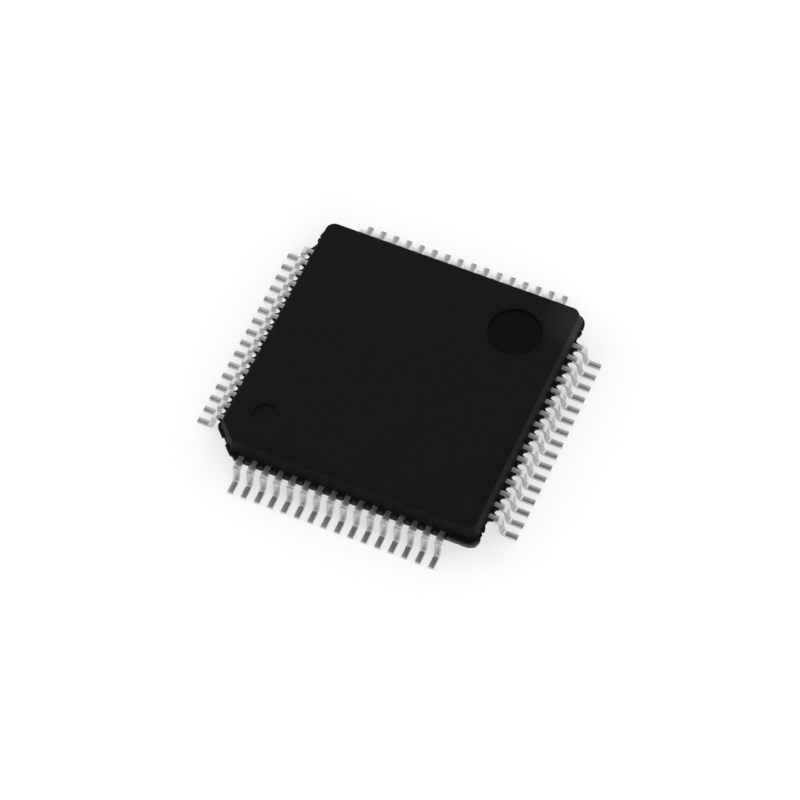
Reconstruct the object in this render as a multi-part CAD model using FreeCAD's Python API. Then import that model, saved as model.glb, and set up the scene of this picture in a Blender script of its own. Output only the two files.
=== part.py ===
import FreeCAD, Part
import math
import os

# Low-profile quad flat pack with 64 gull wing leads on a 0.5 mm pitch, in millimetres.
# X runs along the front edge, Y to the back, Z up. The origin is the middle of the body on the
# seating plane, which the soles of the feet touch. Lead 1 is the first on the front edge, beside
# the large corner cut, and the leads are counted counter-clockwise as seen from above.

# Leads outside the body
leads_per_side = 16
lead_pitch = 0.5
lead_thickness = 0.127
lead_width = 0.20
shoulder_width = 0.26
lead_flat = 0.27
lead_reach = 1.06
riser_lean = 6.0
upper_bend_radius = 0.10
lower_bend_radius = 0.12
bend_flats = 3

# Moulded body
standoff = 0.10
body_height = 1.40
row_end_margin = 1.19
draft_angle = 10.5
plain_corner_cut = 0.32
marked_corner_cut = 0.80
marked_corner_draft = 6.6
corner_rounding = 0.12

# Resin left past the walls at the lead plane, where the dam bar was cut away
web_reach = 0.21
web_hollow = 0.11
web_hollow_floor = 0.12
flash_reach = 0.06
corner_strip_cut = 0.22
lug_width = 0.14
lug_reach = 0.12
lug_inset = 0.52
nick_width = 0.10
nick_depth = 0.05
tie_notch_width = 0.33

# Round recesses in the top face
pin_mark_diameter = 0.95
pin_mark_depth = 0.10
pin_mark_inset_x = 1.42
pin_mark_inset_y = 1.475
ejector_mark_diameter = 1.93
ejector_mark_depth = 0.10
ejector_mark_inset_x = 1.925
ejector_mark_inset_y = 1.88

# Chip and die pad
die_width = 3.6
die_thickness = 0.28
attach_thickness = 0.03
attach_margin = 0.05
pad_border = 0.70
pad_downset = 0.20
tie_bar_width = 0.25
tie_bar_run = 0.10
tie_bar_ramp = 0.30
tie_bar_stub = 0.02

# Lead fingers inside the body
finger_root = 0.45
finger_tip_width = 0.16
finger_pad_gap = 0.50
finger_tie_gap = 0.20

# Bond wires
wire_size = 0.03
wire_loop = 0.15
wire_foot = 0.08
bond_inset = 0.12
bond_end_margin = 0.30
stitch_inset = 0.12

# Groups of equal pieces that share a file
leads_per_group = 2
wires_per_group = 4

os.makedirs("parts", exist_ok=True)

up = FreeCAD.Vector(0, 0, 1)
origin = FreeCAD.Vector(0, 0, 0)
root_two = math.sqrt(2)

# Heights
parting_z = standoff + body_height / 2
top_z = standoff + body_height
lead_bottom_z = parting_z - lead_thickness / 2
lead_top_z = parting_z + lead_thickness / 2
pad_bottom_z = lead_bottom_z - pad_downset
pad_top_z = pad_bottom_z + lead_thickness
attach_top_z = pad_top_z + attach_thickness
die_top_z = attach_top_z + die_thickness

# Distances from the middle
body_half = (leads_per_side - 1) * lead_pitch / 2 + row_end_margin
web_half = body_half + web_reach
flash_half = body_half + flash_reach
toe_r = body_half + lead_reach
bend_r = body_half + lead_flat
root_r = body_half - finger_root
pad_half = die_width / 2 + pad_border
tip_r = pad_half + finger_pad_gap
plain_corner_r = (2 * body_half - plain_corner_cut) / root_two
marked_corner_r = (2 * body_half - marked_corner_cut) / root_two

# Pitches inside the body
finger_tip_spread = tip_r - (tie_bar_width / 2 + finger_tie_gap) * root_two - finger_tip_width / 2
finger_tip_pitch = 2 * finger_tip_spread / (leads_per_side - 1)
bond_pitch = (die_width - 2 * bond_end_margin) / (leads_per_side - 1)


def place(index, pitch):
    """Place of one item in a row that is centred on the side of the package."""
    return (index - (leads_per_side - 1) / 2) * pitch


def to_side(shape, side):
    """Turns a shape made for the right-hand side: 0 is front, 1 right, 2 back and 3 left."""
    turned = shape.copy()
    turned.rotate(origin, up, 90 * (side - 1))
    return turned


def to_corner(shape, corner):
    """Turns a shape made along +X to a corner: 0 is the marked one, then counter-clockwise."""
    turned = shape.copy()
    turned.rotate(origin, up, 90 * corner - 135)
    return turned


def prism(points, bottom, height):
    corners = [FreeCAD.Vector(x, y, bottom) for x, y in points]
    outline = Part.makePolygon(corners + corners[:1])
    return Part.Face(outline).extrude(up * height)


def upright(points, width):
    """A profile in the XZ plane, as wide as given and centred on that plane."""
    corners = [FreeCAD.Vector(x, -width / 2, z) for x, z in points]
    outline = Part.makePolygon(corners + corners[:1])
    return Part.Face(outline).extrude(FreeCAD.Vector(0, width, 0))


def block(x_from, x_to, width, z_from, z_to):
    corner = FreeCAD.Vector(x_from, -width / 2, z_from)
    return Part.makeBox(x_to - x_from, width, z_to - z_from, corner)


def plate(width, bottom, thickness):
    return block(-width / 2, width / 2, width, bottom, bottom + thickness)


def body_outline(side_offset, marked_offset):
    """The square with cut corners, moved out from the parting line by the two offsets."""
    side = body_half + side_offset
    marked_cut = 2 * side - root_two * (marked_corner_r + marked_offset)
    plain_cut = 2 * side - root_two * (plain_corner_r + side_offset)
    points = []
    for corner in range(4):
        cut = marked_cut if corner == 0 else plain_cut
        turn = math.radians(90 * corner)
        for x, y in ((-side, -side + cut), (-side + cut, -side)):
            across = x * math.cos(turn) - y * math.sin(turn)
            along = x * math.sin(turn) + y * math.cos(turn)
            points.append((across, along))
    return points


def frustum(lower, lower_z, upper, upper_z):
    low = [FreeCAD.Vector(x, y, lower_z) for x, y in lower]
    high = [FreeCAD.Vector(x, y, upper_z) for x, y in upper]
    loops = [low[::-1], high]
    for this in range(len(low)):
        after = (this + 1) % len(low)
        loops.append([low[this], low[after], high[after], high[this]])
    faces = [Part.Face(Part.makePolygon(loop + loop[:1])) for loop in loops]
    return Part.makeSolid(Part.Shell(faces))


def moulded_half():
    """The body above the parting line, with drafted walls and rounded upright edges."""
    height = body_height / 2
    side_draft = -height * math.tan(math.radians(draft_angle))
    marked_draft = -height * math.tan(math.radians(marked_corner_draft))
    half = frustum(body_outline(0, 0), parting_z, body_outline(side_draft, marked_draft), top_z)
    upright_edges = [edge for edge in half.Edges if edge.BoundBox.ZLength > height / 2]
    return half.makeFillet(corner_rounding, upright_edges)


def web_layer():
    """Resin as thick as the lead frame that reaches past the walls.

    It fills the gaps between the leads up to the cut dam bar, runs as a thin flash with small
    lugs round the corners, and is wider from the front row to the corner after it.
    """
    row_half = place(leads_per_side - 1, lead_pitch) + lead_width / 2
    row_web = block(root_r, web_half, 2 * row_half, lead_bottom_z, lead_top_z)
    lug_r = body_half + lug_reach
    lug_place = body_half - lug_inset
    lug = block(root_r, lug_r, lug_width, lead_bottom_z, lead_top_z)
    parts = [to_side(row_web, side) for side in range(4)]
    for side, end in ((1, -1), (1, 1), (2, -1), (2, 1), (3, -1)):
        parts.append(to_side(lug.translated(FreeCAD.Vector(0, end * lug_place, 0)), side))
    strip = [(row_half, -root_r), (row_half, -web_half), (flash_half - corner_strip_cut, -web_half),
             (flash_half, corner_strip_cut - web_half), (flash_half, -root_r)]
    flash_end = root_two * (marked_corner_r + flash_reach) - flash_half
    wedge = [(-row_half, -root_r), (-flash_end, -root_r), (-flash_end, -flash_half), (-row_half, -web_half)]
    parts += [prism(outline, lead_bottom_z, lead_thickness) for outline in (strip, wedge)]
    layer = prism(body_outline(flash_reach, flash_reach), lead_bottom_z, lead_thickness).fuse(parts)

    gap_half = (lead_pitch - shoulder_width) / 2
    floor_half = web_hollow_floor / 2
    hollow = prism([(web_half - web_hollow, -floor_half), (web_half, -gap_half),
                    (web_half, gap_half), (web_half - web_hollow, floor_half)],
                   lead_bottom_z, lead_thickness)
    cuts = []
    for index in range(leads_per_side - 1):
        gap_middle = FreeCAD.Vector(0, place(index, lead_pitch) + lead_pitch / 2, 0)
        cuts += [to_side(hollow.translated(gap_middle), side) for side in range(4)]
    nick = block(web_half - nick_depth, web_half + nick_depth, nick_width, lead_bottom_z, lead_top_z)
    cuts.append(to_side(nick.translated(FreeCAD.Vector(0, lug_place, 0)), 0))
    notch = block(marked_corner_r, marked_corner_r + 2 * flash_reach, tie_notch_width,
                  lead_bottom_z, lead_top_z)
    cuts.append(to_corner(notch, 0))
    return layer.cut(cuts).removeSplitter()


def recess(diameter, depth, x, y):
    return Part.makeCylinder(diameter / 2, depth, FreeCAD.Vector(x, y, top_z - depth))


def tie_bar_end(corner):
    """Distance from the middle at which the tie bar of a corner was cut off."""
    if corner == 0:
        return marked_corner_r + tie_bar_stub
    if corner == 1:
        return (flash_half - corner_strip_cut + web_half) / root_two
    return plain_corner_r + flash_reach


def make_die_pad():
    """The plate under the chip with its four tie bars, which rise to the lead plane."""
    pad = plate(2 * pad_half, pad_bottom_z, lead_thickness)
    bars = []
    for corner in range(4):
        start = pad_half * root_two - tie_bar_width
        ramp_start = pad_half * root_two + tie_bar_run
        ramp_end = ramp_start + tie_bar_ramp
        end = tie_bar_end(corner)
        bar = upright([(start, pad_bottom_z), (ramp_start, pad_bottom_z), (ramp_end, lead_bottom_z),
                       (end, lead_bottom_z), (end, lead_top_z), (ramp_end, lead_top_z),
                       (ramp_start, pad_top_z), (start, pad_top_z)], tie_bar_width)
        bars.append(to_corner(bar, corner))
    return pad.fuse(bars).removeSplitter()


def lead_path():
    """Middle line of a lead from its upper bend to its toe: distance out, height and slope.

    Each bend is an arc in a few equal flats, and the riser runs straight from one to the other.
    """
    full_turn = math.radians(90 - riser_lean)
    turns = [full_turn * step / bend_flats for step in range(bend_flats + 1)]
    upper_radius = upper_bend_radius + lead_thickness / 2
    lower_radius = lower_bend_radius + lead_thickness / 2
    sole_mid_z = lead_thickness / 2
    riser_drop = parting_z - sole_mid_z - (upper_radius + lower_radius) * (1 - math.cos(full_turn))
    riser_run = riser_drop / math.tan(full_turn)
    foot_r = bend_r + (upper_radius + lower_radius) * math.sin(full_turn) + riser_run
    upper_bend = [(bend_r + upper_radius * math.sin(turn),
                   parting_z - upper_radius * (1 - math.cos(turn)), turn) for turn in turns]
    lower_bend = [(foot_r - lower_radius * math.sin(turn),
                   sole_mid_z + lower_radius * (1 - math.cos(turn)), turn) for turn in turns[::-1]]
    return upper_bend, lower_bend + [(toe_r, sole_mid_z, 0)]


def strip(path, width, row_y):
    """Sheet of the lead's thickness along a path, centred on the lead's row line."""
    half = lead_thickness / 2
    top = [(r + half * math.sin(turn), z + half * math.cos(turn)) for r, z, turn in path]
    sole = [(r - half * math.sin(turn), z - half * math.cos(turn)) for r, z, turn in path]
    return upright(top + sole[::-1], width).translated(FreeCAD.Vector(0, row_y, 0))


def make_lead(index):
    """One lead of the right-hand side: its finger in the resin, its shoulder and its gull wing."""
    row_y = place(index, lead_pitch)
    tip_y = place(index, finger_tip_pitch)
    upper_bend, rest = lead_path()
    wing = strip([(root_r, parting_z, 0)] + upper_bend + rest, lead_width, row_y)
    shoulder = strip([(web_half, parting_z, 0)] + upper_bend, shoulder_width, row_y)
    finger = prism([(root_r, row_y - lead_width / 2), (root_r, row_y + lead_width / 2),
                    (tip_r, tip_y + finger_tip_width / 2), (tip_r, tip_y - finger_tip_width / 2)],
                   lead_bottom_z, lead_thickness)
    return wing.fuse([shoulder, finger]).removeSplitter()


def make_leads():
    """All leads in their numbered order."""
    right_side = [make_lead(index) for index in range(leads_per_side)]
    return [to_side(lead, side) for side in range(4) for lead in right_side]


def make_wire(index):
    """One bond wire of the right-hand side, from the chip's edge up and over to its finger."""
    start = FreeCAD.Vector(die_width / 2 - bond_inset, place(index, bond_pitch), 0)
    finger_slope = place(index, lead_pitch - finger_tip_pitch) / (root_r - tip_r)
    stitch_y = place(index, finger_tip_pitch) + finger_slope * stitch_inset
    end = FreeCAD.Vector(tip_r + stitch_inset, stitch_y, 0)
    run = end - start
    loop_z = die_top_z + wire_loop
    foot_start = run.Length - wire_foot
    half = wire_size / 2
    wire = upright([(-half, die_top_z), (-half, loop_z), (foot_start, lead_top_z + wire_size),
                    (run.Length, lead_top_z + wire_size), (run.Length, lead_top_z),
                    (foot_start, lead_top_z), (half, loop_z - wire_size), (half, die_top_z)],
                   wire_size)
    wire.rotate(origin, up, math.degrees(math.atan2(run.y, run.x)))
    wire.translate(start)
    return wire


def make_wires():
    right_side = [make_wire(index) for index in range(leads_per_side)]
    return [to_side(wire, side) for side in range(4) for wire in right_side]


def make_body(inner_pieces):
    """The moulded body, with a cavity of the same shape round every piece that it holds."""
    upper = moulded_half()
    lower = upper.mirror(FreeCAD.Vector(0, 0, parting_z), up)
    body = upper.fuse([lower, web_layer()])
    pin_mark = recess(pin_mark_diameter, pin_mark_depth,
                      pin_mark_inset_x - body_half, pin_mark_inset_y - body_half)
    ejector_mark = recess(ejector_mark_diameter, ejector_mark_depth,
                          body_half - ejector_mark_inset_x, body_half - ejector_mark_inset_y)
    body = body.cut([pin_mark, ejector_mark])
    for pieces in inner_pieces:
        body = body.cut(pieces)
    return body


def export(shape, name):
    shape.exportStep("parts/" + name + ".step")


def export_groups(pieces, group_size, name):
    """Writes equal pieces as groups of separate solids, named by their first and last numbers."""
    for first in range(0, len(pieces), group_size):
        group = Part.makeCompound(pieces[first:first + group_size])
        export(group, "%s_%02d_%02d" % (name, first + 1, first + group_size))


leads = make_leads()
wires = make_wires()
die_pad = make_die_pad()
die_attach = plate(die_width + 2 * attach_margin, pad_top_z, attach_thickness)
die = plate(die_width, attach_top_z, die_thickness)
moulded_body = make_body([[die_pad], [die_attach], [die], leads, wires])

export(moulded_body, "moulded_body")
export(die_pad, "die_pad")
export(die_attach, "die_attach")
export(die, "die")
export_groups(leads, leads_per_group, "leads")
export_groups(wires, wires_per_group, "bond_wires")
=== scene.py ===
import math

import bmesh
import bpy
from mathutils import Matrix, Vector, geometry


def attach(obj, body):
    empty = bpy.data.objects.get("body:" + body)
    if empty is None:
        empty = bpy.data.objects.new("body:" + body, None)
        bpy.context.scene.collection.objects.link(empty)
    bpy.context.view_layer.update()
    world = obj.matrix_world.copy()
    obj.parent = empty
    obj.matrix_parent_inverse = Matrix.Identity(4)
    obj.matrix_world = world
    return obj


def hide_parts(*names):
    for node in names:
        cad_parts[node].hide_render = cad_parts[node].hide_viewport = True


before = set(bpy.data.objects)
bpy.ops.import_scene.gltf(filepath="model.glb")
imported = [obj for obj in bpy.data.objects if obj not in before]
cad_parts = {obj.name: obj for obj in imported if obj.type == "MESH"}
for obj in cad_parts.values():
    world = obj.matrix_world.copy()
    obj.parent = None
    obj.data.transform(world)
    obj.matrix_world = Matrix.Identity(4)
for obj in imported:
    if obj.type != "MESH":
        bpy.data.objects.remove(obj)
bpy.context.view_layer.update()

# The looks of a low-profile quad flat pack with 64 gull wing leads. Lengths are in millimetres
# unless a comment says otherwise, and become metres when a mesh is made. X runs along the front
# edge, Y to the back, Z up. Corners and sides count counter-clockwise from the marked corner and
# the front side.
MM = 0.001

# Leads outside the body
LEADS_PER_SIDE = 16
LEAD_PITCH = 0.5
LEAD_THICKNESS = 0.127
LEAD_WIDTH = 0.20
SHOULDER_WIDTH = 0.26
LEAD_FLAT = 0.27
LEAD_REACH = 1.06
RISER_LEAN = 6.0
UPPER_BEND_RADIUS = 0.10
LOWER_BEND_RADIUS = 0.12
BEND_STEPS = 9
# The lead widens to its shoulder over this length, at the edge of the web
SHOULDER_STEP = 0.0004
# Width at each step round the upper bend: the shoulder ends in a step just before the riser
SHOULDER_TAPER = (0.26, 0.26, 0.26, 0.26, 0.26, 0.26, 0.26, 0.26, 0.255, 0.205)
TOP_EDGE_ROUNDING = 0.012
TOP_EDGE_STEPS = 3
SOLE_EDGE_ROUNDING = 0.006
SOLE_EDGE_STEPS = 1

# Moulded body
STANDOFF = 0.10
BODY_HEIGHT = 1.40
ROW_END_MARGIN = 1.19
DRAFT = math.radians(10.5)
MARKED_DRAFT = math.radians(6.6)
PLAIN_CUT = 0.19
MARKED_CUT = 0.80
CORNER_ROUNDING = 0.30
MARKED_ROUNDING = 0.12
EDGE_ROUNDING = 0.06
EDGE_STEPS = 6
ARC_STEPS = 5

# Resin left past the walls at the lead plane, where the dam bar was cut away
WEB_REACH = 0.21
HOLLOW_DEPTH = 0.115
HOLLOW_STEPS = 8
# Place from the middle of a side and reach of the resin there, past the last lead of a row
STRIP_END = ((4.33, 0.21), (4.37, 0.175), (4.43, 0.17), (4.47, 0.21), (4.56, 0.21))
WEDGE_END = ((-4.03, 0.13), (-3.97, 0.17), (-3.90, 0.205))
LUG_END = ((3.92, 0.03), (4.12, 0.01), (4.22, 0.06), (4.33, 0.085), (4.38, 0.08), (4.41, 0.01),
           (4.47, 0.01), (4.52, 0.07), (4.57, 0.05))
LEFT_END = ((3.92, 0.16), (4.00, 0.12), (4.18, 0.05), (4.28, 0.12), (4.38, 0.12), (4.41, 0.05),
            (4.44, 0.06), (4.50, 0.12), (4.58, 0.10))
PLAIN_END = ((3.92, 0.06), (3.98, 0.09), (4.04, 0.11))
# What each side begins and ends with, from the front side on
FIRST_ENDS = (WEDGE_END, LUG_END, LUG_END, LEFT_END)
LAST_ENDS = (STRIP_END, LUG_END, LUG_END, PLAIN_END)
# Reach at each corner: start and end of its first arc, then of its second. The wide strip of
# the front row tapers off round the corner after it.
CORNER_REACHES = (
    (0.10, 0.08, 0.09, 0.09),
    (0.21, 0.215, 0.19, 0.06),
    (0.05, 0.05, 0.05, 0.05),
    (0.05, 0.05, 0.06, 0.09),
)
# Length along the side in which the reach changes at a lead or a notch
STEP_RUN = 0.002
# Behind each lead the web goes in past the wall
SLOT_INSET = -0.04
TIE_NOTCH_WIDTH = 0.33
NOTCH_DEPTH = 0.11
# Part of a corner's flat that its notch may take up
NOTCH_ROOM = 0.95
# Bevel at the outer edges of the web
WEB_EDGE = 0.008
# The web covers the leads' plane by this much above and below
WEB_SKIN = 0.002

# Round recesses in the top face. The way is -1 for the one towards the marked corner, and the
# insets of its middle are from the sides of the body at the lead plane.
PIN_MARK = {"way": -1, "diameter": 0.95, "depth": 0.06, "insets": (1.42, 1.475),
            "steps": 64, "finish": "grained"}
EJECTOR_MARK = {"way": 1, "diameter": 1.93, "depth": 0.06, "insets": (1.925, 1.88),
                "steps": 96, "finish": "smooth"}
RIM_ROUNDING = 0.02
FLOOR_ROUNDING = 0.02
RECESS_ARC_STEPS = 3

# Inside the body
DIE_WIDTH = 3.6
PAD_BORDER = 0.70
PAD_DOWNSET = 0.20
TIE_BAR_WIDTH = 0.25
TIE_BAR_RUN = 0.10
TIE_BAR_RAMP = 0.30
TIE_BAR_COVER = 0.03
FINGER_ROOT = 0.45
FINGER_TIP_WIDTH = 0.16
FINGER_PAD_GAP = 0.50
FINGER_TIE_GAP = 0.20

# Heights, and distances from the middle. Those of corners are along the diagonal.
ROOT_TWO = math.sqrt(2)
PARTING_Z = STANDOFF + BODY_HEIGHT / 2
TOP_Z = STANDOFF + BODY_HEIGHT
LEAD_BOTTOM_Z = PARTING_Z - LEAD_THICKNESS / 2
LEAD_TOP_Z = PARTING_Z + LEAD_THICKNESS / 2
WEB_BOTTOM_Z = LEAD_BOTTOM_Z - WEB_SKIN
WEB_TOP_Z = LEAD_TOP_Z + WEB_SKIN
BODY_HALF = (LEADS_PER_SIDE - 1) * LEAD_PITCH / 2 + ROW_END_MARGIN
WEB_HALF = BODY_HALF + WEB_REACH
TOE_R = BODY_HALF + LEAD_REACH
BEND_R = BODY_HALF + LEAD_FLAT
ROOT_R = BODY_HALF - FINGER_ROOT
PAD_HALF = DIE_WIDTH / 2 + PAD_BORDER
TIP_R = PAD_HALF + FINGER_PAD_GAP
MARKED_R = (2 * BODY_HALF - MARKED_CUT) / ROOT_TWO
PLAIN_R = (2 * BODY_HALF - PLAIN_CUT) / ROOT_TWO
TIP_SPREAD = TIP_R - (TIE_BAR_WIDTH / 2 + FINGER_TIE_GAP) * ROOT_TWO - FINGER_TIP_WIDTH / 2
TIP_PITCH = 2 * TIP_SPREAD / (LEADS_PER_SIDE - 1)

# Camera, fitted to the feet and corners seen in the photograph
AZIMUTH = math.radians(24.553)
ELEVATION = math.radians(57.782)
ROLL = math.radians(-1.097)
DISTANCE = 135.385
AIM = Vector((0.291, -0.673, 0.809))
LENS = 176.4
SENSOR = 36.0
CLIP_METRES = (0.005, 10.0)

# Light: a low bright sky behind the object, dim in front and overhead, and two large soft lamps.
# The spans are parts of a direction's own length.
SKY_BACK = 1.3
SKY_FRONT = 0.35
SKY_HIGH = 0.11
SKY_TURN = (0.66, 0.88)
SKY_SWING = (-0.35, 0.35)
# Name, direction, distance and size in metres, and share, which is the part of a white, upward
# surface's tone that the lamp adds
LAMPS = (
    ("key", (0.55, -0.60, 0.58), 0.50, 0.50, 0.34),
    ("fill", (-0.80, -0.35, 0.48), 0.50, 0.50, 0.20),
)

# White paper floor. Cameras and mirrored rays see part of it as an even white glow.
FLOOR_HALF = 600.0
FLOOR_TONE = 0.92
FLOOR_MOTTLE = 0.005
FLOOR_MOTTLE_SIZE = 1.5
FLOOR_GLOW = 1.2
GLOW_SHARE = 0.48

# Resin is paler round the moulding gate, at the foot of the right-hand wall near the back corner
GATE = Vector((4.95, 4.35, 1.0))
GATE_CORE = 0.5
GATE_SPREAD = 1.5
# Resin is paler at the scraped rim of the strips, from RIM_INNER to RIM_OUTER out from the
# middle, past the row's end. Corners count as RIM_CORNER further out. The paler tone is the cut
# resin's own; the darker resin kept nearer the wall and between the leads is painted shade.
RIM_INNER = 5.04
RIM_OUTER = 5.14
RIM_CORNER = 0.16
ROW_END = 3.90
STRIP_START = 3.98
# Part of the resin's tone that is fine grain, and size of the slow mottle that is the rest
GRAIN_SHARE = 0.92
MOTTLE_SIZE = 0.9

SHARP_ANGLE = math.radians(35)


def make_camera():
    back = Vector((math.sin(AZIMUTH) * math.cos(ELEVATION),
                   -math.cos(AZIMUTH) * math.cos(ELEVATION), math.sin(ELEVATION)))
    level = Vector((math.cos(AZIMUTH), math.sin(AZIMUTH), 0))
    upward = back.cross(level)
    right = level * math.cos(ROLL) + upward * math.sin(ROLL)
    top = upward * math.cos(ROLL) - level * math.sin(ROLL)
    data = bpy.data.cameras.new("camera")
    data.lens = LENS
    data.sensor_width = SENSOR
    data.sensor_fit = "HORIZONTAL"
    data.clip_start, data.clip_end = CLIP_METRES
    camera = bpy.data.objects.new("camera", data)
    bpy.context.scene.collection.objects.link(camera)
    turned = Matrix((right, top, back)).transposed().to_4x4()
    camera.matrix_world = Matrix.Translation((AIM + back * DISTANCE) * MM) @ turned
    bpy.context.scene.camera = camera


def feed(tree, value, socket):
    """Links another node's output to a socket, or sets a constant on it."""
    if isinstance(value, bpy.types.NodeSocket):
        tree.links.new(value, socket)
    else:
        socket.default_value = value


def fade(tree, source, span, start, end):
    """Smooth change from start to end as the source crosses the span."""
    node = tree.nodes.new("ShaderNodeMapRange")
    node.interpolation_type = "SMOOTHSTEP"
    for key, value in (("Value", source), ("From Min", span[0]), ("From Max", span[1]),
                       ("To Min", start), ("To Max", end)):
        feed(tree, value, node.inputs[key])
    return node.outputs["Result"]


def make_light():
    world = bpy.data.worlds.new("sky")
    world.use_nodes = True
    tree = world.node_tree
    background = tree.nodes["Background"]
    place = tree.nodes.new("ShaderNodeTexCoord")
    axes = tree.nodes.new("ShaderNodeSeparateXYZ")
    tree.links.new(place.outputs["Generated"], axes.inputs["Vector"])
    low_sky = fade(tree, axes.outputs["Y"], SKY_SWING, SKY_FRONT, SKY_BACK)
    sky = fade(tree, axes.outputs["Z"], SKY_TURN, low_sky, SKY_HIGH)
    background.inputs["Color"].default_value = (1, 1, 1, 1)
    tree.links.new(sky, background.inputs["Strength"])
    bpy.context.scene.world = world
    for name, towards, distance, size, share in LAMPS:
        towards = Vector(towards).normalized()
        data = bpy.data.lights.new(name, "AREA")
        data.size = size
        data.energy = share * math.pi * math.pi * distance * distance / towards.z
        lamp = bpy.data.objects.new(name, data)
        lamp.location = towards * distance
        lamp.rotation_mode = "QUATERNION"
        lamp.rotation_quaternion = towards.to_track_quat("Z", "Y")
        bpy.context.scene.collection.objects.link(lamp)


# Materials
class Nodes:
    """Short names for building a material's node tree."""

    def __init__(self, name):
        self.material = bpy.data.materials.new(name)
        self.material.use_nodes = True
        self.tree = self.material.node_tree
        self.shader = self.tree.nodes["Principled BSDF"]
        self.place = self.add("ShaderNodeTexCoord").outputs["Object"]

    def add(self, kind, **settings):
        node = self.tree.nodes.new(kind)
        for key, value in settings.items():
            setattr(node, key, value)
        return node

    def link(self, source, target):
        self.tree.links.new(source, target)

    def noise(self, size, detail=2.0):
        """Noise whose lumps are about as large as the size, in millimetres."""
        node = self.add("ShaderNodeTexNoise")
        node.inputs["Scale"].default_value = 1 / (size * MM)
        node.inputs["Detail"].default_value = detail
        self.link(self.place, node.inputs["Vector"])
        return node.outputs["Fac"]

    def spread(self, source, low, high, from_low=0.3, from_high=0.7):
        """Goes evenly from low to high as the source goes from from_low to from_high."""
        node = self.add("ShaderNodeMapRange")
        for key, value in (("From Min", from_low), ("From Max", from_high),
                           ("To Min", low), ("To Max", high)):
            node.inputs[key].default_value = value
        self.link(source, node.inputs["Value"])
        return node.outputs["Result"]

    def ramp(self, source, dark, light, low=0.35, high=0.65):
        """Colour from dark to light as the source goes from low to high."""
        node = self.add("ShaderNodeValToRGB")
        for element, place, colour in zip(node.color_ramp.elements, (low, high), (dark, light)):
            element.position = place
            element.color = (*colour, 1)
        self.link(source, node.inputs["Fac"])
        return node.outputs["Color"]

    def blend(self, factor, low, high):
        """Colour between two colour sockets."""
        node = self.add("ShaderNodeMix", data_type="RGBA")
        self.link(factor, node.inputs["Factor"])
        self.link(low, node.inputs[6])
        self.link(high, node.inputs[7])
        return node.outputs[2]

    def math(self, operation, *values):
        node = self.add("ShaderNodeMath", operation=operation)
        for socket, value in zip(node.inputs, values):
            feed(self.tree, value, socket)
        return node.outputs[0]

    def weigh(self, first, second, share):
        """Sum of two tones in which the first has the given share."""
        return self.math("ADD", self.math("MULTIPLY", first, share),
                         self.math("MULTIPLY", second, 1 - share))

    def rim_share_with_painted_shade(self):
        """Painted shade: 0 on the body and beside the leads, rising to 1 at the rim of the
        strips.
        """
        parts = self.add("ShaderNodeSeparateXYZ")
        self.link(self.place, parts.inputs["Vector"])
        across = self.math("ABSOLUTE", parts.outputs["X"])
        along = self.math("ABSOLUTE", parts.outputs["Y"])
        average = self.math("MULTIPLY", self.math("ADD", across, along), 0.5)
        corner = self.math("ADD", average, RIM_CORNER * MM)
        outward = self.math("MAXIMUM", self.math("MAXIMUM", across, along), corner)
        rim = self.spread(outward, 0.0, 1.0, RIM_INNER * MM, RIM_OUTER * MM)
        past_row = self.spread(self.math("MINIMUM", across, along), 0.0, 1.0,
                               ROW_END * MM, STRIP_START * MM)
        return self.math("MULTIPLY", rim, past_row)

    def bump(self, height, depth, below=None):
        """Surface relief as deep as given, in millimetres."""
        node = self.add("ShaderNodeBump")
        node.inputs["Strength"].default_value = 1.0
        node.inputs["Distance"].default_value = depth * MM
        self.link(height, node.inputs["Height"])
        if below:
            self.link(below, node.inputs["Normal"])
        return node.outputs["Normal"]

    def set(self, **values):
        names = {"base": "Base Color", "rough": "Roughness", "metal": "Metallic",
                 "level": "Specular IOR Level", "ior": "IOR", "normal": "Normal"}
        for key, value in values.items():
            feed(self.tree, value, self.shader.inputs[names[key]])
        return self.material


def grey(value, warm=0.0):
    return (value * (1 + warm), value, value * (1 - warm))


def resin(name, tones, rough, relief, grain=0.05, level=0.10, gate_tone=0.0, rim_tone_out_of_painted_shade=0.0):
    """Black filled epoxy: fine spark-eroded grain over a slow mottle, with its paler places."""
    nodes = Nodes(name)
    fine = nodes.noise(grain, detail=3.0)
    broad = nodes.noise(MOTTLE_SIZE)
    tone = nodes.weigh(fine, broad, GRAIN_SHARE)
    colour = nodes.ramp(tone, grey(tones[0]), grey(tones[1]), low=0.39, high=0.61)
    # Paler cut resin at the rim of the strips; near the wall and between the leads it stays dark
    # as painted shade
    if rim_tone_out_of_painted_shade:
        pale = nodes.ramp(fine, grey(rim_tone_out_of_painted_shade * 0.6), grey(rim_tone_out_of_painted_shade * 1.4))
        colour = nodes.blend(nodes.rim_share_with_painted_shade(), colour, pale)
    if gate_tone:
        apart = nodes.add("ShaderNodeVectorMath", operation="DISTANCE")
        nodes.link(nodes.place, apart.inputs[0])
        apart.inputs[1].default_value = GATE * MM
        near = nodes.spread(apart.outputs["Value"], 1.0, 0.0, GATE_CORE * MM, GATE_SPREAD * MM)
        pale = nodes.ramp(fine, grey(gate_tone), grey(gate_tone * 1.4), low=0.3, high=0.7)
        colour = nodes.blend(near, colour, pale)
    return nodes.set(base=colour, level=level, ior=1.5, rough=nodes.spread(fine, *rough),
                     normal=nodes.bump(fine, relief, nodes.bump(broad, relief / 2)))


def tin(name, tones, rough):
    """Matte tin plating: finely crystalline and a little cloudy."""
    nodes = Nodes(name)
    crystals = nodes.noise(0.018)
    cloud = nodes.noise(0.25)
    tone = nodes.weigh(crystals, cloud, 0.4)
    colour = nodes.ramp(tone, grey(tones[0], warm=0.006), grey(tones[1], warm=0.006))
    return nodes.set(base=colour, metal=1.0, rough=nodes.spread(cloud, *rough),
                     normal=nodes.bump(crystals, 0.0012))


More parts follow.
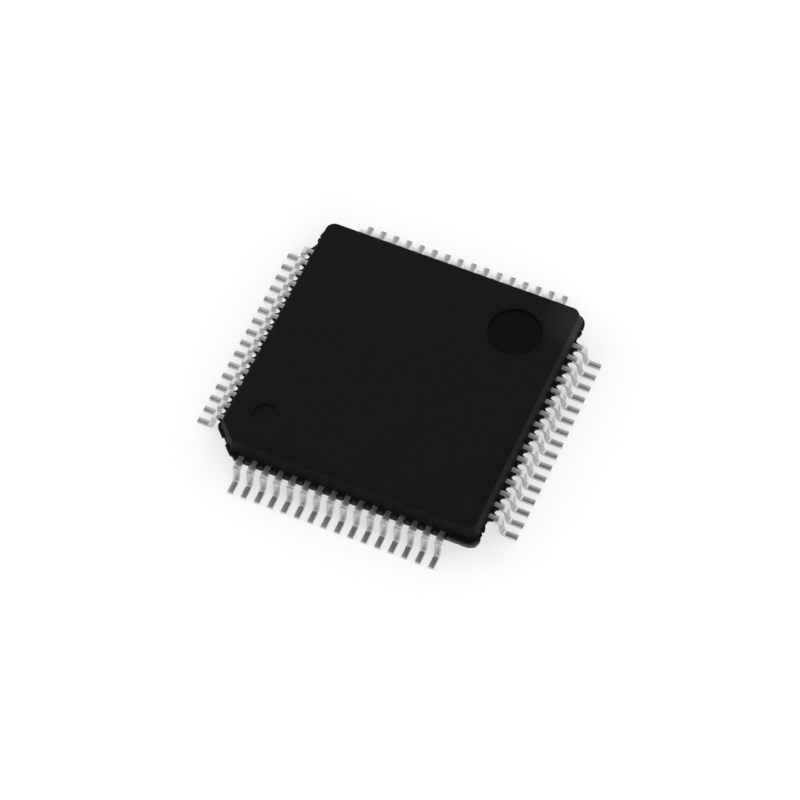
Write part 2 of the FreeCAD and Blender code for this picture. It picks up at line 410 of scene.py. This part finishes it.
def plain_metal(name, dark, light, rough, size):
    nodes = Nodes(name)
    tone = nodes.noise(size, detail=3.0)
    return nodes.set(base=nodes.ramp(tone, dark, light), metal=1.0,
                     rough=nodes.spread(tone, *rough), normal=nodes.bump(tone, 0.001))


def silicon():
    """Dark polished silicon with fine blocks of circuit in faint blue-greys."""
    nodes = Nodes("silicon_die")
    blocks = nodes.add("ShaderNodeTexVoronoi", distance="CHEBYCHEV")
    blocks.inputs["Scale"].default_value = 1 / (0.22 * MM)
    nodes.link(nodes.place, blocks.inputs["Vector"])
    tone = nodes.weigh(blocks.outputs["Distance"], nodes.noise(0.03, detail=3.0), 0.6)
    colour = nodes.ramp(tone, (0.10, 0.11, 0.14), (0.17, 0.19, 0.22), low=0.25, high=0.6)
    return nodes.set(base=colour, rough=nodes.spread(tone, 0.12, 0.22), level=0.8)


def silver_epoxy():
    nodes = Nodes("silver_epoxy_paste")
    flakes = nodes.noise(0.02, detail=4.0)
    return nodes.set(base=nodes.ramp(flakes, grey(0.38), grey(0.55)), metal=0.4,
                     rough=nodes.spread(flakes, 0.45, 0.7), normal=nodes.bump(flakes, 0.003))


def make_materials():
    return {
        "grained": resin("resin_grained", tones=(0.0002, 0.0056), rough=(0.50, 0.70),
                         relief=0.0055, gate_tone=0.014),
        "smooth": resin("resin_smooth", tones=(0.0010, 0.0024), rough=(0.50, 0.56),
                        relief=0.0008, grain=0.06, level=0.07),
        "flash": resin("resin_flash", tones=(0.002, 0.008), rough=(0.60, 0.75),
                       relief=0.004, rim_tone_out_of_painted_shade=0.065),
        "broken": resin("resin_broken", tones=(0.006, 0.016), rough=(0.60, 0.75),
                        relief=0.006, rim_tone_out_of_painted_shade=0.085),
        "tin": tin("matte_tin", tones=(0.53, 0.60), rough=(0.33, 0.39)),
        "copper": plain_metal("lead_frame_copper_alloy", (0.60, 0.35, 0.24), (0.74, 0.45, 0.32),
                              rough=(0.30, 0.45), size=0.05),
        "gold": plain_metal("drawn_gold", (0.80, 0.58, 0.24), (0.90, 0.66, 0.30),
                            rough=(0.18, 0.28), size=0.02),
        "silicon": silicon(),
        "epoxy": silver_epoxy(),
    }


# Meshes
def unit(degrees):
    return Vector((math.cos(math.radians(degrees)), math.sin(math.radians(degrees))))


def finish_mesh(bm, name, materials):
    """Turns a bmesh in millimetres into a smooth-shaded object in metres, sharp edges kept."""
    bmesh.ops.recalc_face_normals(bm, faces=bm.faces)
    for edge in bm.edges:
        edge.smooth = len(edge.link_faces) == 2 and edge.calc_face_angle(0) < SHARP_ANGLE
    for face in bm.faces:
        face.smooth = True
    bmesh.ops.scale(bm, vec=(MM, MM, MM), verts=bm.verts)
    mesh = bpy.data.meshes.new(name)
    bm.to_mesh(mesh)
    bm.free()
    for material in materials:
        mesh.materials.append(material)
    piece = bpy.data.objects.new(name, mesh)
    bpy.context.scene.collection.objects.link(piece)
    weighted = piece.modifiers.new("flat_faces_stay_flat", "WEIGHTED_NORMAL")
    weighted.keep_sharp = True
    return piece


def skin(bm, lower, upper, material):
    """Band of quads between two closed loops of vertices."""
    count = len(lower)
    for this in range(count):
        after = (this + 1) % count
        face = bm.faces.new((lower[this], lower[after], upper[after], upper[this]))
        face.material_index = material


def row_place(index, pitch=LEAD_PITCH):
    return (index - (LEADS_PER_SIDE - 1) / 2) * pitch


def side_samples(side):
    """Points along one side, counter-clockwise: place along the side and reach of the web."""
    samples = list(FIRST_ENDS[side])
    if side != 0:
        samples = [(-place, reach) for place, reach in samples[::-1]]
    half = LEAD_WIDTH / 2
    hollow_half = (LEAD_PITCH - SHOULDER_WIDTH) / 2
    for index in range(LEADS_PER_SIDE):
        row = row_place(index)
        samples += [(row - half - STEP_RUN, WEB_REACH), (row - half, SLOT_INSET),
                    (row + half, SLOT_INSET), (row + half + STEP_RUN, WEB_REACH)]
        if index < LEADS_PER_SIDE - 1:
            for turn in range(HOLLOW_STEPS + 1):
                angle = math.pi * (turn / HOLLOW_STEPS - 0.5)
                samples.append((row + LEAD_PITCH / 2 + hollow_half * math.sin(angle),
                                WEB_REACH - HOLLOW_DEPTH * math.cos(angle)))
    return samples + list(LAST_ENDS[side])


SIDE_SAMPLES = [side_samples(side) for side in range(4)]


def ring(z, side_offset, marked_offset, rounding, web=False, inset=0.0):
    """Outline of the body at one height, with the same count of points at every height.

    The offsets move the sides and the marked corner's face. Where the ring is part of the web,
    it stands out by the web's reach less the inset.
    """

    def grown(reach):
        return reach - inset if web else 0.0

    def arc(centre, radius, start, first_reach, last_reach):
        """Eighth of a turn, with a reach that changes evenly."""
        places = []
        for step in range(ARC_STEPS + 1):
            share = step / ARC_STEPS
            reach = first_reach + (last_reach - first_reach) * share
            places.append(centre + unit(start + 45 * share) * (radius + grown(reach)))
        return places

    points = []
    side_r = BODY_HALF + side_offset
    for corner in range(4):
        middle = 90 * corner - 135
        if corner == 0:
            plane_r = MARKED_R + marked_offset
            radius = rounding + MARKED_ROUNDING - CORNER_ROUNDING
        else:
            plane_r = (2 * side_r - PLAIN_CUT) / ROOT_TWO
            radius = rounding
        across = unit(middle)
        along = unit(middle + 90)
        # The arcs' centres lie a radius inside the sides and inside the corner's flat
        far = side_r - radius
        near = ROOT_TWO * (plane_r - radius) - far
        first = unit(middle - 45) * far + unit(middle + 45) * near
        second = unit(middle + 45) * far + unit(middle - 45) * near
        reaches = CORNER_REACHES[corner]
        points += arc(first, radius, middle - 45, reaches[0], reaches[1])
        half = TIE_NOTCH_WIDTH / 2
        depth = NOTCH_DEPTH if corner == 0 else 0
        notch = ((-half - STEP_RUN, reaches[1]), (-half, reaches[1] - depth),
                 (half, reaches[2] - depth), (half + STEP_RUN, reaches[2]))
        # Higher up the flat of a corner is shorter than its notch, so the points draw together
        straight = (second - first).dot(along) / 2
        squeeze = min(1.0, NOTCH_ROOM * straight / (half + STEP_RUN))
        for place, reach in notch:
            points.append(across * (plane_r + grown(reach)) + along * place * squeeze)
        points += arc(second, radius, middle, reaches[2], reaches[3])
        # Higher up a side is shorter as well
        closer = min(1.0, (side_r - rounding) / (BODY_HALF - CORNER_ROUNDING))
        normal = unit(90 * (corner - 1))
        tangent = unit(90 * corner)
        for place, reach in SIDE_SAMPLES[corner]:
            points.append(normal * (side_r + grown(reach)) + tangent * place * closer)
    return [(p.x, p.y, z) for p in points]


def edge_rings(sign):
    """Rings of the rounded edge between the walls and the top (1) or the underside (-1)."""
    rho = EDGE_ROUNDING
    drop = BODY_HEIGHT / 2
    face_z = PARTING_Z + sign * drop
    side_middle, marked_middle = [(rho - drop) * math.tan(draft) - rho / math.cos(draft)
                                  for draft in (DRAFT, MARKED_DRAFT)]
    rings = []
    for step in range(EDGE_STEPS + 1):
        lift = DRAFT + (math.pi / 2 - DRAFT) * step / EDGE_STEPS
        out = rho * math.cos(lift)
        inset = rho * math.cos(DRAFT) - out
        rings.append(ring(face_z - sign * rho * (1 - math.sin(lift)), side_middle + out,
                          marked_middle + out, CORNER_ROUNDING - inset))
    return rings


def body_rings():
    """All rings from the underside to the top, each with the finish of the band above it."""
    half_web = LEAD_THICKNESS / 2
    foot = -half_web * math.tan(DRAFT), -half_web * math.tan(MARKED_DRAFT)
    rings = [(points, "grained") for points in edge_rings(-1)[::-1]]
    rings.append((ring(WEB_BOTTOM_Z, *foot, CORNER_ROUNDING), "grained"))
    for z, inset, finish in ((WEB_BOTTOM_Z, WEB_EDGE, "broken"),
                             (WEB_BOTTOM_Z + WEB_EDGE, 0.0, "broken"),
                             (WEB_TOP_Z - WEB_EDGE, 0.0, "broken"),
                             (WEB_TOP_Z, WEB_EDGE, "flash")):
        rings.append((ring(z, 0, 0, CORNER_ROUNDING, True, inset), finish))
    rings.append((ring(WEB_TOP_Z, *foot, CORNER_ROUNDING), "grained"))
    return rings + [(points, "grained") for points in edge_rings(1)]


def recess_rings(mark):
    """Middle of a round recess, and its rings from the rim down to the edge of its floor."""
    radius = mark["diameter"] / 2
    floor_z = TOP_Z - mark["depth"]
    centre = Vector([BODY_HALF - inset for inset in mark["insets"]]) * mark["way"]
    turns = [math.pi / 2 * step / RECESS_ARC_STEPS for step in range(RECESS_ARC_STEPS + 1)]
    profile = [(radius + RIM_ROUNDING * (1 - math.sin(turn)),
                TOP_Z - RIM_ROUNDING * (1 - math.cos(turn))) for turn in turns]
    profile += [(radius - FLOOR_ROUNDING * (1 - math.cos(turn)),
                 floor_z + FLOOR_ROUNDING * (1 - math.sin(turn))) for turn in turns]
    rings = []
    for r, z in profile:
        circle = [centre + unit(360 * step / mark["steps"]) * r for step in range(mark["steps"])]
        rings.append([(p.x, p.y, z) for p in circle])
    return centre, rings


def make_body(materials):
    order = ["grained", "smooth", "broken", "flash"]
    bm = bmesh.new()
    loops = [([bm.verts.new(p) for p in points], order.index(finish))
             for points, finish in body_rings()]
    for (lower, finish), (upper, _) in zip(loops, loops[1:]):
        skin(bm, lower, upper, finish)
    bm.faces.new(loops[0][0][::-1])
    # The top face is divided into triangles between its outline and the rims of the recesses
    border = list(loops[-1][0])
    edges = [(i, (i + 1) % len(border)) for i in range(len(border))]
    holes = []
    for mark in (PIN_MARK, EJECTOR_MARK):
        finish = order.index(mark["finish"])
        centre, rings = recess_rings(mark)
        mark_loops = [[bm.verts.new(p) for p in points] for points in rings]
        for upper, lower in zip(mark_loops, mark_loops[1:]):
            skin(bm, upper, lower, finish)
        bm.faces.new(mark_loops[-1]).material_index = finish
        start = len(border)
        count = len(mark_loops[0])
        border += mark_loops[0]
        edges += [(start + i, start + (i + 1) % count) for i in range(count)]
        holes.append((centre, mark["diameter"] / 2))
    flat = [v.co.xy.copy() for v in border]
    inside_only = 1
    _, _, triangles, origins, _, _ = geometry.delaunay_2d_cdt(flat, edges, [], inside_only, 1e-7)
    for triangle in triangles:
        corners = [border[origins[i][0]] for i in triangle]
        middle = sum((v.co.xy for v in corners), Vector((0, 0))) / 3
        if all((middle - centre).length > radius for centre, radius in holes):
            bm.faces.new(corners)
    body = finish_mesh(bm, "resin_body", [materials[name] for name in order])
    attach(body, "root")
    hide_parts("moulded_body")


def lead_path():
    """Middle line and width of a lead from its finger tip to its toe.

    Each item is distance out, height, slope, width and the share of the way from the finger's
    root to its tip.
    """
    full_turn = math.radians(90 - RISER_LEAN)
    turns = [full_turn * step / BEND_STEPS for step in range(BEND_STEPS + 1)]
    upper_radius = UPPER_BEND_RADIUS + LEAD_THICKNESS / 2
    lower_radius = LOWER_BEND_RADIUS + LEAD_THICKNESS / 2
    sole_mid = LEAD_THICKNESS / 2
    bends = upper_radius + lower_radius
    riser_drop = PARTING_Z - sole_mid - bends * (1 - math.cos(full_turn))
    foot_r = BEND_R + bends * math.sin(full_turn) + riser_drop / math.tan(full_turn)
    path = [(TIP_R, PARTING_Z, 0, FINGER_TIP_WIDTH, 1.0),
            (ROOT_R, PARTING_Z, 0, LEAD_WIDTH, 0.0),
            (WEB_HALF - SHOULDER_STEP, PARTING_Z, 0, LEAD_WIDTH, 0.0),
            (WEB_HALF, PARTING_Z, 0, SHOULDER_WIDTH, 0.0)]
    for turn, width in zip(turns, SHOULDER_TAPER):
        path.append((BEND_R + upper_radius * math.sin(turn),
                     PARTING_Z - upper_radius * (1 - math.cos(turn)), turn, width, 0.0))
    for turn in turns[::-1]:
        path.append((foot_r - lower_radius * math.sin(turn),
                     sole_mid + lower_radius * (1 - math.cos(turn)), turn, LEAD_WIDTH, 0.0))
    path.append((TOE_R, sole_mid, 0, LEAD_WIDTH, 0.0))
    return path


def lead_section(width):
    """Cross-section of a stamped lead, well rounded above and crisp below: across and up."""
    points = []
    top = TOP_EDGE_ROUNDING, TOP_EDGE_STEPS
    sole = SOLE_EDGE_ROUNDING, SOLE_EDGE_STEPS
    corners = ((1, 1, *top), (-1, 1, *top), (-1, -1, *sole), (1, -1, *sole))
    for quarter, (side, face, radius, steps) in enumerate(corners):
        for step in range(steps + 1):
            angle = math.pi / 2 * (quarter + step / steps)
            points.append((side * (width / 2 - radius) + radius * math.cos(angle),
                           face * (LEAD_THICKNESS / 2 - radius) + radius * math.sin(angle)))
    return points


def add_lead(bm, number, path):
    side, index = divmod(number, LEADS_PER_SIDE)
    row = row_place(index)
    tip = row_place(index, TIP_PITCH)
    normal = unit(90 * (side - 1))
    tangent = unit(90 * side)
    loops = []
    for r, z, slope, width, finger in path:
        middle = row + (tip - row) * finger
        loop = []
        for across, up in lead_section(width):
            flat = normal * (r + up * math.sin(slope)) + tangent * (middle + across)
            loop.append(bm.verts.new((flat.x, flat.y, z + up * math.cos(slope))))
        loops.append(loop)
    for first, second in zip(loops, loops[1:]):
        skin(bm, first, second, 0)
    bm.faces.new(loops[0][::-1])
    bm.faces.new(loops[-1])


def make_leads(materials):
    path = lead_path()
    for first in range(0, 4 * LEADS_PER_SIDE, 2):
        bm = bmesh.new()
        for number in (first, first + 1):
            add_lead(bm, number, path)
        name = f"{first + 1:02d}_{first + 2:02d}"
        pair = finish_mesh(bm, "formed_leads_" + name, [materials["tin"]])
        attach(pair, "root")
        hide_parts("leads_" + name)


def make_die_pad(materials):
    """The plate under the chip with its four tie bars, as one closed skin."""
    bm = bmesh.new()
    bottom = LEAD_BOTTOM_Z - PAD_DOWNSET
    reach = PAD_HALF * ROOT_TWO
    half = TIE_BAR_WIDTH / 2
    ramp_start = reach + TIE_BAR_RUN
    outline = []
    for corner in range(4):
        across = unit(90 * corner - 135)
        along = unit(90 * corner - 45)
        wall_r = MARKED_R if corner == 0 else PLAIN_R
        loops = []
        for r, z in ((reach - half, bottom), (ramp_start, bottom),
                     (ramp_start + TIE_BAR_RAMP, LEAD_BOTTOM_Z),
                     (wall_r - TIE_BAR_COVER, LEAD_BOTTOM_Z)):
            ends = [across * r - along * half, across * r + along * half]
            loops.append([bm.verts.new((p.x, p.y, z)) for p in ends]
                         + [bm.verts.new((p.x, p.y, z + LEAD_THICKNESS)) for p in ends[::-1]])
        for first, second in zip(loops, loops[1:]):
            skin(bm, first, second, 0)
        bm.faces.new(loops[-1])
        outline += [(loops[0][0], loops[0][3]), (loops[0][1], loops[0][2])]
    bm.faces.new([low for low, high in outline][::-1])
    bm.faces.new([high for low, high in outline])
    for corner in range(4):
        low, high = outline[2 * corner + 1]
        next_low, next_high = outline[(2 * corner + 2) % 8]
        bm.faces.new((low, next_low, next_high, high))
    pad = finish_mesh(bm, "stamped_die_pad", [materials["copper"]])
    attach(pad, "root")
    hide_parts("die_pad")


def dress_cad_nodes(materials):
    """Gives the CAD pieces that stay, all inside the resin, their materials."""
    finishes = {"die_attach": "epoxy", "die": "silicon"}
    for name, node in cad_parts.items():
        finish = "gold" if name.startswith("bond_wires") else finishes.get(name)
        if finish:
            for slot in node.material_slots:
                slot.material = materials[finish]


def make_floor():
    """White paper floor. It keeps the shadow, and cameras and metal see it lifted to white."""
    half = FLOOR_HALF * MM
    mesh = bpy.data.meshes.new("paper_floor")
    corners = [(-half, -half, 0), (half, -half, 0), (half, half, 0), (-half, half, 0)]
    mesh.from_pydata(corners, [], [(0, 1, 2, 3)])
    floor = bpy.data.objects.new("paper_floor", mesh)
    bpy.context.scene.collection.objects.link(floor)
    nodes = Nodes("white_paper")
    nodes.tree.nodes.remove(nodes.shader)
    output = nodes.tree.nodes["Material Output"]
    rays = nodes.add("ShaderNodeLightPath").outputs
    mirrored = nodes.math("MAXIMUM", rays["Is Glossy Ray"], rays["Is Transmission Ray"])
    seen = nodes.math("MAXIMUM", rays["Is Camera Ray"], mirrored)
    tone = nodes.ramp(nodes.noise(FLOOR_MOTTLE_SIZE, detail=3.0), grey(FLOOR_TONE - FLOOR_MOTTLE),
                      grey(FLOOR_TONE + FLOOR_MOTTLE), low=0.3, high=0.7)
    paper = nodes.add("ShaderNodeBsdfDiffuse")
    nodes.link(tone, paper.inputs["Color"])
    glow = nodes.add("ShaderNodeEmission")
    glow.inputs["Color"].default_value = (1, 1, 1, 1)
    glow.inputs["Strength"].default_value = FLOOR_GLOW
    mix = nodes.add("ShaderNodeMixShader")
    nodes.link(nodes.math("MULTIPLY", seen, GLOW_SHARE), mix.inputs["Fac"])
    nodes.link(paper.outputs["BSDF"], mix.inputs[1])
    nodes.link(glow.outputs["Emission"], mix.inputs[2])
    nodes.link(mix.outputs["Shader"], output.inputs["Surface"])
    mesh.materials.append(nodes.material)


bpy.context.scene.view_settings.view_transform = "Standard"
make_camera()
make_light()
make_floor()
all_materials = make_materials()
make_body(all_materials)
make_leads(all_materials)
make_die_pad(all_materials)
dress_cad_nodes(all_materials)
